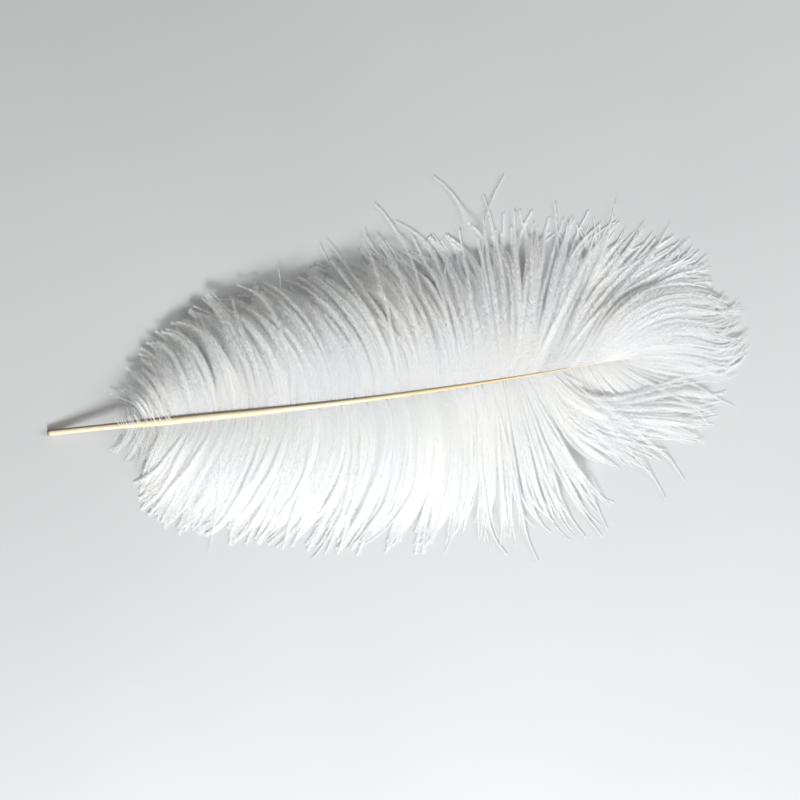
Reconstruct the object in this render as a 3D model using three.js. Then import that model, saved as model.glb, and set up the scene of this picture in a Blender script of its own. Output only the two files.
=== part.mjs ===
// A white ostrich plume, lying on a table with the underside of its vanes touching down.
// Millimetres and degrees. +X runs along the shaft from the cut quill end to the tip, +Y to the plume's
// left side and +Z up. The origin is the middle of the plume's footprint, on the table.
// Ostrich barbs have no hooks, so a vane parts into locks. Each vane is one solid that covers its barbs
// from the shaft out to their tips, with a ridge along each lock.
import * as THREE from "three";

// The shaft: one grown piece, a bare quill that swells where the vanes begin and thins to a hair.
const SHAFT_LENGTH = 412;
const SHAFT_ARCH = 24; // rise of its middle above the line through its ends
const SHAFT_BOW = 5.2; // sideways bow, towards the right side
const BOW_SKEW = 1.25; // above 1, the bow is deepest past the middle
const TIP_HEIGHT = 7; // of the shaft's fine end
const SHAFT_FLATNESS = 0.92; // height of its section for a width of 1
const SHAFT_SIDES = 12;
const SHAFT_STEPS = 44;
const SHAFT_HALF_WIDTHS = [
  // share of the length, half the width there
  [0, 2.2], [0.1, 2.2], [0.2, 3.1], [0.3, 2.95], [0.4, 2.45], [0.56, 1.85],
  [0.69, 1.4], [0.8, 1], [0.9, 0.62], [1, 0.28],
];

// The vanes.
const GAP = 0.35; // clearance between neighbouring solids
const ROOT_THICKNESS = 3.2; // of a vane where it leaves the shaft
const TIP_THICKNESS = 1.6; // at the ends of its locks
const GROOVE = 0.45; // share of the thickness that is missing between two locks
const NOTCH = 0.12; // share of a barb's length by which the outline steps in between two locks
const LEAST_LIFT = 0.6; // height of a vane's underside above its tip before it lies level
const HANG_POWER = 1.35; // above 1, a vane sags steeply beside the shaft
const LANDING = 0.72; // share of a barb's length from which it lies level, at the height of its tip
const ROWS = 9; // points from root to tip
const PATH_STEPS = 32; // steps for following a barb's curve

// Each row is one barb: place of its root along the shaft, its heading at the root, halfway and at the
// tip, its length, and how high its tip is held. A heading is counted from +X, outwards on either side.
const TIP_ROOT = SHAFT_LENGTH + 2; // the last barbs leave just past the shaft's fine end
const LEFT_DOWN = { side: 1, locks: 3, barbs: [
  [52, 112, 118, 128, 20, 9],
  [64, 98, 108, 122, 34, 9],
  [76, 92, 104, 120, 50, 9],
] };
const LEFT_VANE = { side: 1, locks: 22, barbs: [
  [78, 90, 103, 120, 54, 9],
  [102, 84, 98, 118, 70, 11],
  [152, 84, 108, 136, 90, 11],
  [195, 84, 112, 138, 104, 8],
  [253, 82, 103, 124, 115, 2],
  [289, 82, 99, 115, 119, 0],
  [310, 82, 95, 109, 126, 0],
  [317, 80, 92, 105, 146, 0],
  [324, 78, 89, 100, 124, 0],
  [336, 72, 76, 84, 121, 0],
  [346, 64, 66, 72, 122, 0],
  [353, 58, 57, 58, 124, 0],
  [368, 50, 39, 26, 122, 0],
  [380, 50, 30, 4, 120, 0],
] };
const TIP_LEFT = { side: 1, locks: 4, barbs: [
  [383, 50, 28, 0, 118, 0],
  [392, 50, 20, -20, 118, 0],
  [402, 36, 6, -36, 112, 0],
  [TIP_ROOT, 4, -10, -30, 94, 0],
] };
const TIP_RIGHT = { side: -1, locks: 8, barbs: [
  [TIP_ROOT, 30, 12, -8, 88, 0],
  [403, 40, 18, 2, 98, 0],
  [390, 50, 24, 18, 106, 0],
  [374, 60, 31, 26, 115, 0],
  [352, 74, 50, 40, 112, 0],
] };
const RIGHT_VANE = { side: -1, locks: 17, barbs: [
  [349, 82, 72, 58, 119, 0],
  [338, 86, 81, 68, 122, 0],
  [325, 85, 88, 84, 120, 0],
  [308, 80, 97, 106, 118, 0],
  [289, 76, 102, 122, 116, 0],
  [253, 73, 109, 137, 114, 0],
  [195, 73, 112, 139, 108, 0],
  [152, 76, 115, 140, 97, 0],
  [102, 82, 114, 137, 74, 0],
  [80, 88, 112, 136, 59, 0],
] };
const RIGHT_DOWN = { side: -1, locks: 3, barbs: [
  [77, 92, 112, 132, 56, 0],
  [62, 100, 120, 138, 36, 2],
  [48, 118, 132, 144, 20, 4],
] };

// The number in a column of a table at x, between the rows on either side of it. x runs up or down the
// first column.
function tableAt(rows, x, column) {
  const rising = rows[0][0] < rows[rows.length - 1][0];
  const passed = (row) => (rising ? row[0] <= x : row[0] >= x);
  const after = THREE.MathUtils.clamp(rows.filter(passed).length, 1, rows.length - 1);
  const [a, b] = [rows[after - 1], rows[after]];
  const t = THREE.MathUtils.clamp((x - a[0]) / (b[0] - a[0]), 0, 1);
  return THREE.MathUtils.lerp(a[column], b[column], t);
}

// The shaft's middle line at a share u of its length. It runs on straight past its end.
function shaftPoint(u) {
  const foot = SHAFT_FLATNESS * SHAFT_HALF_WIDTHS[0][1];
  return new THREE.Vector3(
    SHAFT_LENGTH * u,
    -SHAFT_BOW * Math.sin(Math.PI * u ** BOW_SKEW),
    foot + (TIP_HEIGHT - foot) * u + SHAFT_ARCH * Math.sin(Math.PI * u),
  );
}

// A closed solid through rings of equal, even size. A ladder between the ring's two halves closes each end.
function loft(rings) {
  const size = rings[0].length;
  const index = [];
  for (let i = 0; i + 1 < rings.length; i++)
    for (let j = 0; j < size; j++) {
      const [a, b] = [i * size + j, i * size + ((j + 1) % size)];
      index.push(a, b, b + size, a, b + size, a + size);
    }
  const end = (rings.length - 1) * size;
  for (let j = 0; j + 1 < size / 2; j++) {
    const [a, b, c, d] = [j, j + 1, size - 2 - j, size - 1 - j];
    index.push(a, c, b, a, d, c);
    index.push(end + a, end + b, end + c, end + a, end + c, end + d);
  }
  const geometry = new THREE.BufferGeometry().setFromPoints(rings.flat());
  geometry.setIndex(index);
  geometry.computeVertexNormals();
  return geometry;
}

// The shaft as a row of oval rings.
function shaftRings() {
  const rings = [];
  for (let i = 0; i <= SHAFT_STEPS; i++) {
    const u = i / SHAFT_STEPS;
    const middle = shaftPoint(u);
    const half = tableAt(SHAFT_HALF_WIDTHS, u, 1);
    const ring = [];
    for (let j = 0; j < SHAFT_SIDES; j++) {
      const turn = (2 * Math.PI * (j + 0.5)) / SHAFT_SIDES;
      const sideways = half * Math.cos(turn);
      const upwards = SHAFT_FLATNESS * half * Math.sin(turn);
      ring.push(new THREE.Vector3(middle.x, middle.y + sideways, middle.z + upwards));
    }
    rings.push(ring);
  }
  return rings;
}

// The course of one barb over the table, from its root beside the shaft to a share of its length.
function barbCourse({ side, barbs }, root, reach) {
  const u = root / SHAFT_LENGTH;
  const [start, middle, end, length] = [1, 2, 3, 4].map((column) => tableAt(barbs, root, column));
  const pull = 2 * middle - (start + end) / 2; // turns the heading through middle halfway along
  const from = shaftPoint(u);
  const place = new THREE.Vector2(from.x, from.y + side * (tableAt(SHAFT_HALF_WIDTHS, u, 1) + GAP));
  const course = [place.clone()];
  const step = (length * reach) / PATH_STEPS;
  for (let i = 0; i < PATH_STEPS; i++) {
    const t = (i + 0.5) / PATH_STEPS;
    const heading = start * (1 - t) ** 2 + 2 * pull * t * (1 - t) + end * t ** 2;
    const way = side * THREE.MathUtils.degToRad(heading);
    place.add(new THREE.Vector2(step * Math.cos(way), step * Math.sin(way)));
    course.push(place.clone());
  }
  return course;
}

// A vane's section along one barb: out along the underside and back along the top.
function section(vane, root, fullness, reach) {
  const course = barbCourse(vane, root, reach);
  const tipLift = tableAt(vane.barbs, root, 5);
  const drop = shaftPoint(root / SHAFT_LENGTH).z - ROOT_THICKNESS / 2 - tipLift;
  const under = [];
  const top = [];
  for (let k = 0; k < ROWS; k++) {
    const t = k / (ROWS - 1);
    const { x, y } = course[Math.round(t * PATH_STEPS)];
    const thickness = fullness * THREE.MathUtils.lerp(ROOT_THICKNESS, TIP_THICKNESS, t);
    const hang = drop * Math.max(0, 1 - t / LANDING) ** HANG_POWER;
    const lift = tipLift + (t < LANDING ? Math.max(LEAST_LIFT, hang) : 0);
    under.push(new THREE.Vector3(x, y, lift));
    top.unshift(new THREE.Vector3(x, y, lift + thickness));
  }
  return [...under, ...top];
}

// The sections of a vane. Each lock is thick and long in its middle, thin and short at its sides.
function sections(vane) {
  const { barbs, locks } = vane;
  const first = barbs[0][0];
  const last = barbs[barbs.length - 1][0];
  const rings = [];
  for (let i = 0; i <= 2 * locks; i++) {
    const root = THREE.MathUtils.lerp(first, last, i / (2 * locks));
    const between = i % 2 === 0;
    rings.push(section(vane, root, between ? 1 - GROOVE : 1, between ? 1 - NOTCH : 1));
  }
  return rings;
}

const barbWhite = new THREE.MeshStandardMaterial({ color: 0xf4f3ee, roughness: 0.85, metalness: 0 });
const downWhite = new THREE.MeshStandardMaterial({ color: 0xf7f6f2, roughness: 0.95, metalness: 0 });
const shaftIvory = new THREE.MeshStandardMaterial({ color: 0xe9d9ae, roughness: 0.4, metalness: 0 });

function named(name, rings, material) {
  const mesh = new THREE.Mesh(loft(rings), material);
  mesh.name = name;
  return mesh;
}

const plume = new THREE.Group();
plume.add(
  named("shaft", shaftRings(), shaftIvory),
  named("left_down", sections(LEFT_DOWN), downWhite),
  named("left_vane", sections(LEFT_VANE), barbWhite),
  named("tip_plume", [...sections(TIP_LEFT), ...sections(TIP_RIGHT)], barbWhite),
  named("right_vane", sections(RIGHT_VANE), barbWhite),
  named("right_down", sections(RIGHT_DOWN), downWhite),
);

// The origin goes to the middle of the footprint.
const footprint = new THREE.Box3().setFromObject(plume, true);
const centre = footprint.getCenter(new THREE.Vector3());
plume.position.set(-centre.x, -centre.y, -footprint.min.z);

export default plume;
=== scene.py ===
"""A white ostrich plume lying on a pale table: a cream shaft and some hundreds of soft, loose barbs.

Metres, +X along the shaft from the cut quill end to the tip, +Y to the plume's left, +Z up.
"""

import logging
import math
from dataclasses import astuple, dataclass, replace
from enum import Enum

import bpy
import numpy as np
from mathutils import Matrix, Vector


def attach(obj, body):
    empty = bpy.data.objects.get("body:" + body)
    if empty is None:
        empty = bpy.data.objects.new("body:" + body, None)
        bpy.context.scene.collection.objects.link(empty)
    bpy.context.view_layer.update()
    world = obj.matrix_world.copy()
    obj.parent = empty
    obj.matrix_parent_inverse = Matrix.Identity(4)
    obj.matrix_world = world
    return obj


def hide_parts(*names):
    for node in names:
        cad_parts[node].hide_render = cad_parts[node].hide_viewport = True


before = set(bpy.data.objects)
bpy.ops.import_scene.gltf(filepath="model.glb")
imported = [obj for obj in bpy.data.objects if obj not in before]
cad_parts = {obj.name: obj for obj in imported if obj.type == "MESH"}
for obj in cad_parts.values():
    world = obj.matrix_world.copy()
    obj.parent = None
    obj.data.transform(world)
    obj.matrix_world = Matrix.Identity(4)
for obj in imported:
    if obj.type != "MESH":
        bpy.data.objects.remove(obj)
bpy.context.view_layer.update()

LOG = logging.getLogger("plume")
MM = 0.001
BODY = "root"
SEED = 20


# ---- Node trees ----


class Value:
    """A node's output socket that can stand in Python maths."""

    def __init__(self, tree: "Tree", socket: bpy.types.NodeSocket) -> None:
        """Wraps an output socket of a tree that new nodes go into."""
        self.tree = tree
        self.socket = socket

    def _maths(self, operation: str, *others: object) -> "Value":
        """Adds a Vector Math node where any value is a vector, otherwise a Math node.

        Args:
            operation: the node's operation.
            others: the sockets or numbers in order, this one included.

        Returns:
            The node's result.
        """
        vector = any(self._is_vector(other) for other in others)
        kind = "ShaderNodeVectorMath" if vector else "ShaderNodeMath"
        fed = [(v,) * 3 if vector and isinstance(v, (int, float)) else v for v in others]
        return self.tree.add(kind, {"operation": operation}, dict(enumerate(fed)))

    def __add__(self, other: object) -> "Value":
        """Adds."""
        return self._maths("ADD", self, other)

    def __radd__(self, other: object) -> "Value":
        """Adds, from the right."""
        return self._maths("ADD", other, self)

    def __sub__(self, other: object) -> "Value":
        """Subtracts."""
        return self._maths("SUBTRACT", self, other)

    def __rsub__(self, other: object) -> "Value":
        """Subtracts this from another."""
        return self._maths("SUBTRACT", other, self)

    def __mul__(self, other: object) -> "Value":
        """Multiplies, or scales a vector by a number."""
        if self._is_vector(self) and not self._is_vector(other):
            scaling = {0: self, "Scale": other}
            return self.tree.add("ShaderNodeVectorMath", {"operation": "SCALE"}, scaling)
        return self._maths("MULTIPLY", self, other)

    def __rmul__(self, other: object) -> "Value":
        """Multiplies, from the right."""
        return self * other

    def __truediv__(self, other: object) -> "Value":
        """Divides."""
        return self._maths("DIVIDE", self, other)

    @staticmethod
    def _is_vector(other: object) -> bool:
        """Says whether other is a vector or colour socket."""
        return isinstance(other, Value) and other.socket.type in ("VECTOR", "RGBA")

    def sine(self) -> "Value":
        """Returns the sine."""
        return self._maths("SINE", self)

    def cosine(self) -> "Value":
        """Returns the cosine."""
        return self._maths("COSINE", self)

    def cross(self, other: "Value") -> "Value":
        """Returns the cross product with other."""
        return self._maths("CROSS_PRODUCT", self, other)

    def between(self, low: float, high: float) -> "Value":
        """Returns 0 below low, 1 above high and a smooth rise from one to the other."""
        ends = {"Value": self, "From Min": low, "From Max": high}
        return self.tree.add("ShaderNodeMapRange", {"interpolation_type": "SMOOTHSTEP"}, ends)


class Tree:
    """Adds nodes to a shader or Geometry Nodes tree."""

    def __init__(self, nodes: bpy.types.NodeTree) -> None:
        """Starts on a tree to fill."""
        self.nodes = nodes

    def add(
        self, kind: str, settings: dict | None = None, sockets: dict | None = None, output: object = 0
    ) -> Value:
        """Adds one node.

        Args:
            kind: the node's type.
            settings: its properties, set before its sockets are used.
            sockets: input name or number to a value or a link, or a list of links.
            output: the name or number of the output that is wanted.

        Returns:
            That output.
        """
        node = self.nodes.nodes.new(kind)
        for name, setting in (settings or {}).items():
            setattr(node, name, setting)
        for name, value in (sockets or {}).items():
            for one in value if isinstance(value, list) else [value]:
                if isinstance(one, Value):
                    self.nodes.links.new(one.socket, node.inputs[name])
                else:
                    node.inputs[name].default_value = one
        return Value(self, node.outputs[output] if node.outputs else None)

    def other(self, value: Value, output: object) -> Value:
        """Returns another output of the node that value comes from."""
        return Value(self, value.socket.node.outputs[output])

    def split(self, vector: Value) -> Value:
        """Returns a vector's X, with its Y and Z as the node's other outputs."""
        return self.add("ShaderNodeSeparateXYZ", {}, {0: vector})

    def join(self, x: object, y: object, z: object = 0.0) -> Value:
        """Returns a vector of three values."""
        return self.add("ShaderNodeCombineXYZ", {}, {"X": x, "Y": y, "Z": z})

    def mix(self, share: object, low: object, high: object) -> Value:
        """Returns a mix of two colours, with a share of the second."""
        colours = {"Factor": share, 6: low, 7: high}
        return self.add("ShaderNodeMix", {"data_type": "RGBA"}, colours, output=2)

    def noise(self, place: Value, scale: float, detail: float = 3.0) -> Value:
        """Returns a noise from 0 to 1 at a place."""
        return self.add("ShaderNodeTexNoise", {}, {"Vector": place, "Scale": scale, "Detail": detail})

    def stretched(self, place: Value, scale: tuple[float, float, float]) -> Value:
        """Returns place scaled along each axis, by a Mapping node."""
        return self.add("ShaderNodeMapping", {}, {"Vector": place, "Scale": scale})

    def stored(self, name: str) -> Value:
        """Returns a number that is stored on the mesh, in a shader tree."""
        return self.add("ShaderNodeAttribute", {"attribute_name": name}, output="Fac")


def colour(red: float, green: float, blue: float) -> tuple[float, float, float, float]:
    """Returns an opaque colour from linear channels."""
    return (red, green, blue, 1.0)


# ---- Finishes ----


class Finish:
    """A material that is built of nodes."""

    name: str

    def surface(self, tree: Tree, place: Value) -> Value:
        """Returns the shader, built in tree from the object coordinates."""
        raise NotImplementedError

    def make(self) -> bpy.types.Material:
        """Builds the material.

        Returns:
            The material.
        """
        material = bpy.data.materials.new(self.name)
        material.use_nodes = True
        material.node_tree.nodes.clear()
        tree = Tree(material.node_tree)
        shader = self.surface(tree, tree.add("ShaderNodeTexCoord", output="Object"))
        tree.add("ShaderNodeOutputMaterial", {}, {"Surface": shader})
        return material


@dataclass(frozen=True)
class BarbFinish(Finish):
    """White keratin fibres that scatter light and let some of it through, greyed by painted shade where the
    barbs store it.
    """

    name: str = "barb_white"
    cool: tuple = colour(0.97, 0.982, 0.99)
    warm: tuple = colour(0.986, 0.984, 0.976)
    dull: tuple = colour(0.86, 0.868, 0.855)  # grey of the painted shade, laid on where the barbs store it
    patches: float = 22.0  # cool and warm patches to a metre
    faint: float = 0.975  # how bright the dullest barb is beside the brightest
    fibres: float = 900.0  # to a metre
    fibre_depth: float = 0.015
    lit_through: float = 0.41  # share of the light that passes
    through: tuple = colour(0.982, 0.987, 0.988)
    roughness: float = 0.55
    rougher: float = 0.2  # in the warm patches
    specular: float = 0.25
    sheen: float = 0.08
    sheen_roughness: float = 0.4

    def surface(self, tree: Tree, place: Value) -> Value:
        """Builds the skin of the fibres and the light that comes through them.

        Args:
            tree: the tree to fill.
            place: the object coordinates.

        Returns:
            The shader.
        """
        patches = tree.noise(place, self.patches).between(0.35, 0.65)
        # painted shade: grey mixed into the barbs where they store it, standing in for the shade beside the
        # shaft and at shaded tips
        white = tree.mix(tree.stored("dull"), tree.mix(patches, self.cool, self.warm), self.dull)
        shade = self.faint + (1.0 - self.faint) * tree.stored("tint")
        fibre = tree.noise(place, self.fibres, 1.0)
        skin = tree.add("ShaderNodeBsdfPrincipled", {}, {
            "Base Color": white * (shade * (1.0 - self.fibre_depth + self.fibre_depth * fibre)),
            "Roughness": self.roughness + self.rougher * patches,
            "Specular IOR Level": self.specular,
            "Sheen Weight": self.sheen,
            "Sheen Roughness": self.sheen_roughness,
        })
        glow = tree.add("ShaderNodeBsdfTranslucent", {}, {"Color": self.through})
        return tree.add("ShaderNodeMixShader", {}, {0: self.lit_through, 1: skin, 2: glow})


@dataclass(frozen=True)
class ShaftFinish(Finish):
    """Cream keratin, with brown painted shade along its left side and at the mouth of its hollow, golden
    where it thins and white at its fine end.
    """

    name: str = "shaft_ivory"
    cream: tuple = colour(0.80, 0.70, 0.47)
    pale: tuple = colour(0.90, 0.84, 0.66)
    gold: tuple = colour(0.70, 0.54, 0.28)
    # painted shade: the brown of the shaded left side and of the hollow's mouth
    brown: tuple = colour(0.26, 0.18, 0.09)
    white: tuple = colour(0.85, 0.80, 0.68)
    streaks: tuple = (14.0, 900.0, 900.0)  # to a metre, along each axis
    clouds: tuple = (30.0, 60.0, 60.0)
    cloud_gold: float = 0.3  # share of gold in the clouds
    golden_from: float = -0.06
    golden_to: float = 0.04
    golden: float = 0.75  # share of gold where it thins
    brown_least: float = 0.35  # share of painted shade on the left side where it thins
    brown_more: float = 0.55  # and how much more there is before
    white_from: float = 0.10
    white_to: float = 0.15
    cut_at: float = -0.2531
    cut_edges: tuple = (0.3 * MM, 2.2 * MM)  # where the painted shade at the hollow's mouth begins and stops fading
    cut_brown: float = 0.8
    bump: float = 0.25
    bump_depth: float = 0.15 * MM
    roughness: float = 0.3
    rougher: float = 0.25  # in the clouds
    specular: float = 0.5

    def surface(self, tree: Tree, place: Value) -> Value:
        """Lays the colours over each other along the shaft and round it.

        Args:
            tree: the tree to fill.
            place: the object coordinates.

        Returns:
            The shader.
        """
        along = tree.split(place)
        left = tree.other(tree.split(tree.other(place, "Normal")), "Y")
        streaks = tree.noise(tree.stretched(place, self.streaks), 1.0, 4.0)
        clouds = tree.noise(tree.stretched(place, self.clouds), 1.0)
        thin = along.between(self.golden_from, self.golden_to)
        base = tree.mix(streaks.between(0.35, 0.7), self.cream, self.pale)
        base = tree.mix(clouds.between(0.45, 0.8) * self.cloud_gold, base, self.gold)
        base = tree.mix(thin * self.golden, base, self.gold)
        # painted shade: brown on the side whose normal points left, away from the key light, less where the
        # shaft thins
        left_shade = self.brown_least + self.brown_more * (1.0 - thin)
        base = tree.mix((left + 0.3 * clouds).between(0.3, 0.85) * left_shade, base, self.brown)
        base = tree.mix(along.between(self.white_from, self.white_to), base, self.white)
        # painted shade: brown over the first millimetres from the cut, inside and out, for the dark of the
        # hollow's mouth
        cut = 1.0 - along.between(*(self.cut_at + edge for edge in self.cut_edges))
        base = tree.mix(cut * self.cut_brown, base, self.brown)
        bump = {"Strength": self.bump, "Distance": self.bump_depth, "Height": streaks}
        return tree.add("ShaderNodeBsdfPrincipled", {}, {
            "Base Color": base,
            "Roughness": self.roughness + self.rougher * clouds,
            "Normal": tree.add("ShaderNodeBump", {}, bump),
            "Specular IOR Level": self.specular,
        })


@dataclass(frozen=True)
class TableFinish(Finish):
    """A plain pale painted table."""

    name: str = "table_pale"
    low: tuple = colour(0.59, 0.602, 0.608)
    high: tuple = colour(0.62, 0.631, 0.637)
    clouds: float = 3.0  # to a metre
    roughness: float = 0.8
    specular: float = 0.2

    def surface(self, tree: Tree, place: Value) -> Value:
        """Returns matt paint with faint clouds, built in tree from the object coordinates."""
        cloud = tree.noise(place, self.clouds).between(0.3, 0.7)
        return tree.add("ShaderNodeBsdfPrincipled", {}, {
            "Base Color": tree.mix(cloud, self.low, self.high),
            "Roughness": self.roughness,
            "Specular IOR Level": self.specular,
        })


# ---- Curves through a few numbers ----


def smooth_through(at: np.ndarray, places: np.ndarray, values: np.ndarray) -> np.ndarray:
    """Reads a smooth curve that passes through given values without overshooting.

    Args:
        at: where to read it.
        places: where the values stand, rising.
        values: the values, one or more columns.

    Returns:
        The curve at each place of at.
    """
    values = np.asarray(values, float).reshape(len(places), -1)
    slopes = np.diff(values, axis=0) / np.diff(places)[:, None]
    tangents = np.vstack([slopes[:1], (slopes[1:] + slopes[:-1]) / 2, slopes[-1:]])
    tangents[1:-1][slopes[1:] * slopes[:-1] <= 0] = 0
    i = np.clip(np.searchsorted(places, at, side="right") - 1, 0, len(places) - 2)
    step = np.diff(places)[:, None][i]
    t = np.clip((at - places[i])[:, None] / step, 0, 1)
    start, end = values[i], values[i + 1]
    leave, arrive = tangents[i] * step, tangents[i + 1] * step
    square, cube = t**2, t**3
    found = (2 * cube - 3 * square + 1) * start + (cube - 2 * square + t) * leave
    return found + (3 * square - 2 * cube) * end + (cube - square) * arrive


def ease(t: np.ndarray, low: float, high: float | np.ndarray) -> np.ndarray:
    """Returns 0 below low, 1 above high and a smooth rise between them."""
    share = np.clip((t - low) / (high - low), 0, 1)
    return share * share * (3 - 2 * share)


class ShaftLine:
    """The shaft's middle line and its half widths, read from the CAD shaft."""

    def __init__(self, node: str) -> None:
        """Reads the rings of the named node's mesh."""
        corners = np.array([v.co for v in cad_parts[node].data.vertices])
        places = corners[:, 0].round(5)
        self.x = np.unique(places)
        rings = [corners[places == x] for x in self.x]
        low = np.array([ring.min(axis=0) for ring in rings])
        high = np.array([ring.max(axis=0) for ring in rings])
        self.middles = (low[:, 1:] + high[:, 1:]) / 2
        self.halves = (high[:, 1:] - low[:, 1:]) / 2

    @property
    def length(self) -> float:
        """Returns the shaft's length."""
        return float(self.x[-1] - self.x[0])

    def at(self, along: np.ndarray) -> tuple[np.ndarray, np.ndarray]:
        """Reads the shaft at distances from the cut end.

        Args:
            along: the distances.

        Returns:
            The middle points, and half the width and height at each.
        """
        x = float(self.x[0]) + along
        middles = smooth_through(x, self.x, self.middles)
        return np.column_stack([x, middles]), smooth_through(x, self.x, self.halves)


# ---- Barbs ----


class Side(Enum):
    """The side of the shaft that a barb grows on."""

    LEFT = 1
    RIGHT = -1


@dataclass(frozen=True)
class Guide:
    """One barb of a vane that the barbs on either side of it follow.

    Headings are in degrees from +X, outwards on either side. The rest is in millimetres.
    """

    root: float  # from the cut end
    start: float  # heading at the root
    middle: float  # heading halfway
    end: float  # heading at the tip
    length: float
    tip: float  # height of its tip over the table
    puff: float  # how far it stands proud of a plain droop
    fluff: float  # length of its barbules
    bare: float = 0.0  # share of its length at its root where they are hardly grown

    def row(self) -> tuple[float, ...]:
        """Returns the numbers that are smoothed from guide to guide: all but the root."""
        return astuple(self)[1:]


@dataclass(frozen=True, kw_only=True)
class Loose:
    """How far the barbs of a vane stray from their guides."""

    heading: float  # degrees
    lock_heading: float  # degrees, of a whole lock
    curl: float = 22.0  # degrees at the tip
    curl_back: float = 6.0  # degrees that tips turn towards the quill
    flick: float = 0.0  # degrees that the very ends turn back the other way
    wave: float = 2.0  # degrees, of a lock's long waves
    frizz: float = 1.6  # degrees, of small waves
    longest: float = 1.06  # length of the longest locks, as a share of the guide's
    length: float = 0.03  # share
    short_locks: float  # how much shorter the shortest lock is, as a share
    height: float = 0.4  # mm
    lock_height: float = 0.8  # mm, of a whole lock
    stacking: float  # mm that the shortest locks lie over the others, by their share
    gather: float  # share of the way that a lock's barbs close up at their tips
    gather_from: float = 0.45  # share of their length where they begin to
    barbs_in_lock: float = 6.0
    under: float = 0.45  # share of barbs that lie beneath the locks and fill their gaps
    under_heading: float = 2.0  # degrees
    under_reach: tuple[float, float] = (0.6, 0.9)  # their length, as a share of the others'
    under_fluff: float = 1.6  # length of their barbules, as a share of the others'
    strays: float = 0.03  # share of barbs that lie across the others
    stray_heading: float = 16.0  # degrees


class BarbTree:
    """The Geometry Nodes tree that grows barbules along barbs."""

    FIXED = {
        "Least Lean": math.radians(30),
        "Most Lean": math.radians(66),
        "Least Sag": math.radians(-4),
        "Most Sag": math.radians(24),
        "Twist": 0.55,
        "Shaft Sides": 3,
    }
    INPUTS = {
        "Geometry": "Geometry",
        "Material": "Material",
        "Seed": "Int",
        "Shaft Sides": "Int",
        "Barbule Spacing": "Float",
        "Barbule Width": "Float",
        "Spread": "Float",  # of the sag, where a barb is round and full
        "Twist": "Float",
        "Least Lean": "Float",
        "Most Lean": "Float",
        "Least Sag": "Float",
        "Most Sag": "Float",
    }
    GROWN = (0.72, 1.18)  # the least and the most of a barbule's length, as a share
    MAP_REACH = 0.45  # how far barbules reach over their barb's strip of the map, as a share
    SEEDS = {Side.LEFT: 1, Side.RIGHT: 11}  # the first of the seeds that each row uses

    def __init__(self) -> None:
        """Builds the tree with its named inputs."""
        self.group = bpy.data.node_groups.new("barbules", "GeometryNodeTree")
        face = self.group.interface
        self.inputs = {
            name: face.new_socket(name, in_out="INPUT", socket_type="NodeSocket" + kind)
            for name, kind in self.INPUTS.items()
        }
        face.new_socket("Geometry", in_out="OUTPUT", socket_type="NodeSocketGeometry")
        self.tree = Tree(self.group)
        self.given = self.tree.add("NodeGroupInput")
        self._fill()

    def _input(self, name: str) -> Value:
        """Returns one of the group's inputs."""
        return self.tree.other(self.given, name)

    def _attribute(self, name: str, kind: str = "FLOAT") -> Value:
        """Returns a named attribute."""
        return self.tree.add("GeometryNodeInputNamedAttribute", {"data_type": kind}, {"Name": name})

    def _store(self, geometry: Value, name: str, value: object, **settings: str) -> Value:
        """Returns a geometry with a named attribute, a number on each point unless settings say more."""
        sockets = {"Geometry": geometry, "Name": name, "Value": value}
        return self.tree.add("GeometryNodeStoreNamedAttribute", settings, sockets)

    def _random(self, low: object, high: object, number: int) -> Value:
        """Returns a random number between low and high, with a seed of its own."""
        sockets = {2: low, 3: high, "Seed": self._input("Seed") + number}
        return self.tree.add("FunctionNodeRandomValue", {"data_type": "FLOAT"}, sockets, output=1)

    def _either_way(self, name: str, number: int) -> Value:
        """Returns a random number between an input and its negative, with a seed of its own."""
        return self._random(self._input(name) * -1.0, self._input(name), number)

    def _realized(self, *parts: object) -> Value:
        """Joins geometries and makes their instances real."""
        joined = self.tree.add("GeometryNodeJoinGeometry", {}, {0: list(parts)})
        return self.tree.add("GeometryNodeRealizeInstances", {}, {0: joined})

    def _barbule(self) -> Value:
        """Makes one barbule: a sliver 1 long from the origin, and 1 wide there.

        Returns:
            Its mesh, with out and edge stored on it.
        """
        tree = self.tree
        corners = {"Vertices": 3, "Radius": 1.0}
        three = tree.add("GeometryNodeMeshCircle", {"fill_type": "NGON"}, corners)
        x = tree.split(tree.add("GeometryNodeInputPosition"))
        place = tree.join((x + 0.5) / 1.5, tree.other(x, "Y") / math.sqrt(3))
        sliver = tree.add("GeometryNodeSetPosition", {}, {"Geometry": three, "Position": place})
        x = tree.split(tree.add("GeometryNodeInputPosition"))
        return self._store(self._store(sliver, "out", x), "edge", tree.other(x, "Y"))

    def _row(self, points: Value, barbule: Value, side: Side) -> Value:
        """Sets a row of barbules along one side of the barbs.

        Args:
            points: the points along the barbs.
            barbule: the mesh of one.
            side: the barb's side.

        Returns:
            The barbules, as instances.
        """
        tree = self.tree
        seed = self.SEEDS[side]
        tangent = tree.other(points, "Tangent")
        up = self._attribute("up", "FLOAT_VECTOR")
        lean = self._random(self._input("Least Lean"), self._input("Most Lean"), seed)
        sag = self._random(self._input("Least Sag"), self._input("Most Sag"), seed + 1)
        twist = self._either_way("Twist", seed + 2)
        length = self._attribute("fluff") * self._random(*self.GROWN, seed + 3)
        sag = sag + self._attribute("round") * self._either_way("Spread", seed + 4)
        across = up.cross(tangent) * float(side.value)
        outwards = across * sag.cosine() - up * sag.sine()
        turn = tree.add(
            "FunctionNodeAxesToRotation",
            {"primary_axis": "X", "secondary_axis": "Z"},
            {
                "Primary Axis": tangent * lean.cosine() + outwards * lean.sine(),
                "Secondary Axis": up + across * twist,
            },
        )
        return tree.add("GeometryNodeInstanceOnPoints", {}, {
            "Points": self._store(points, "side", float(side.value)),
            "Instance": barbule,
            "Rotation": turn,
            "Scale": tree.join(length, self._input("Barbule Width"), length),
        })

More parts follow.
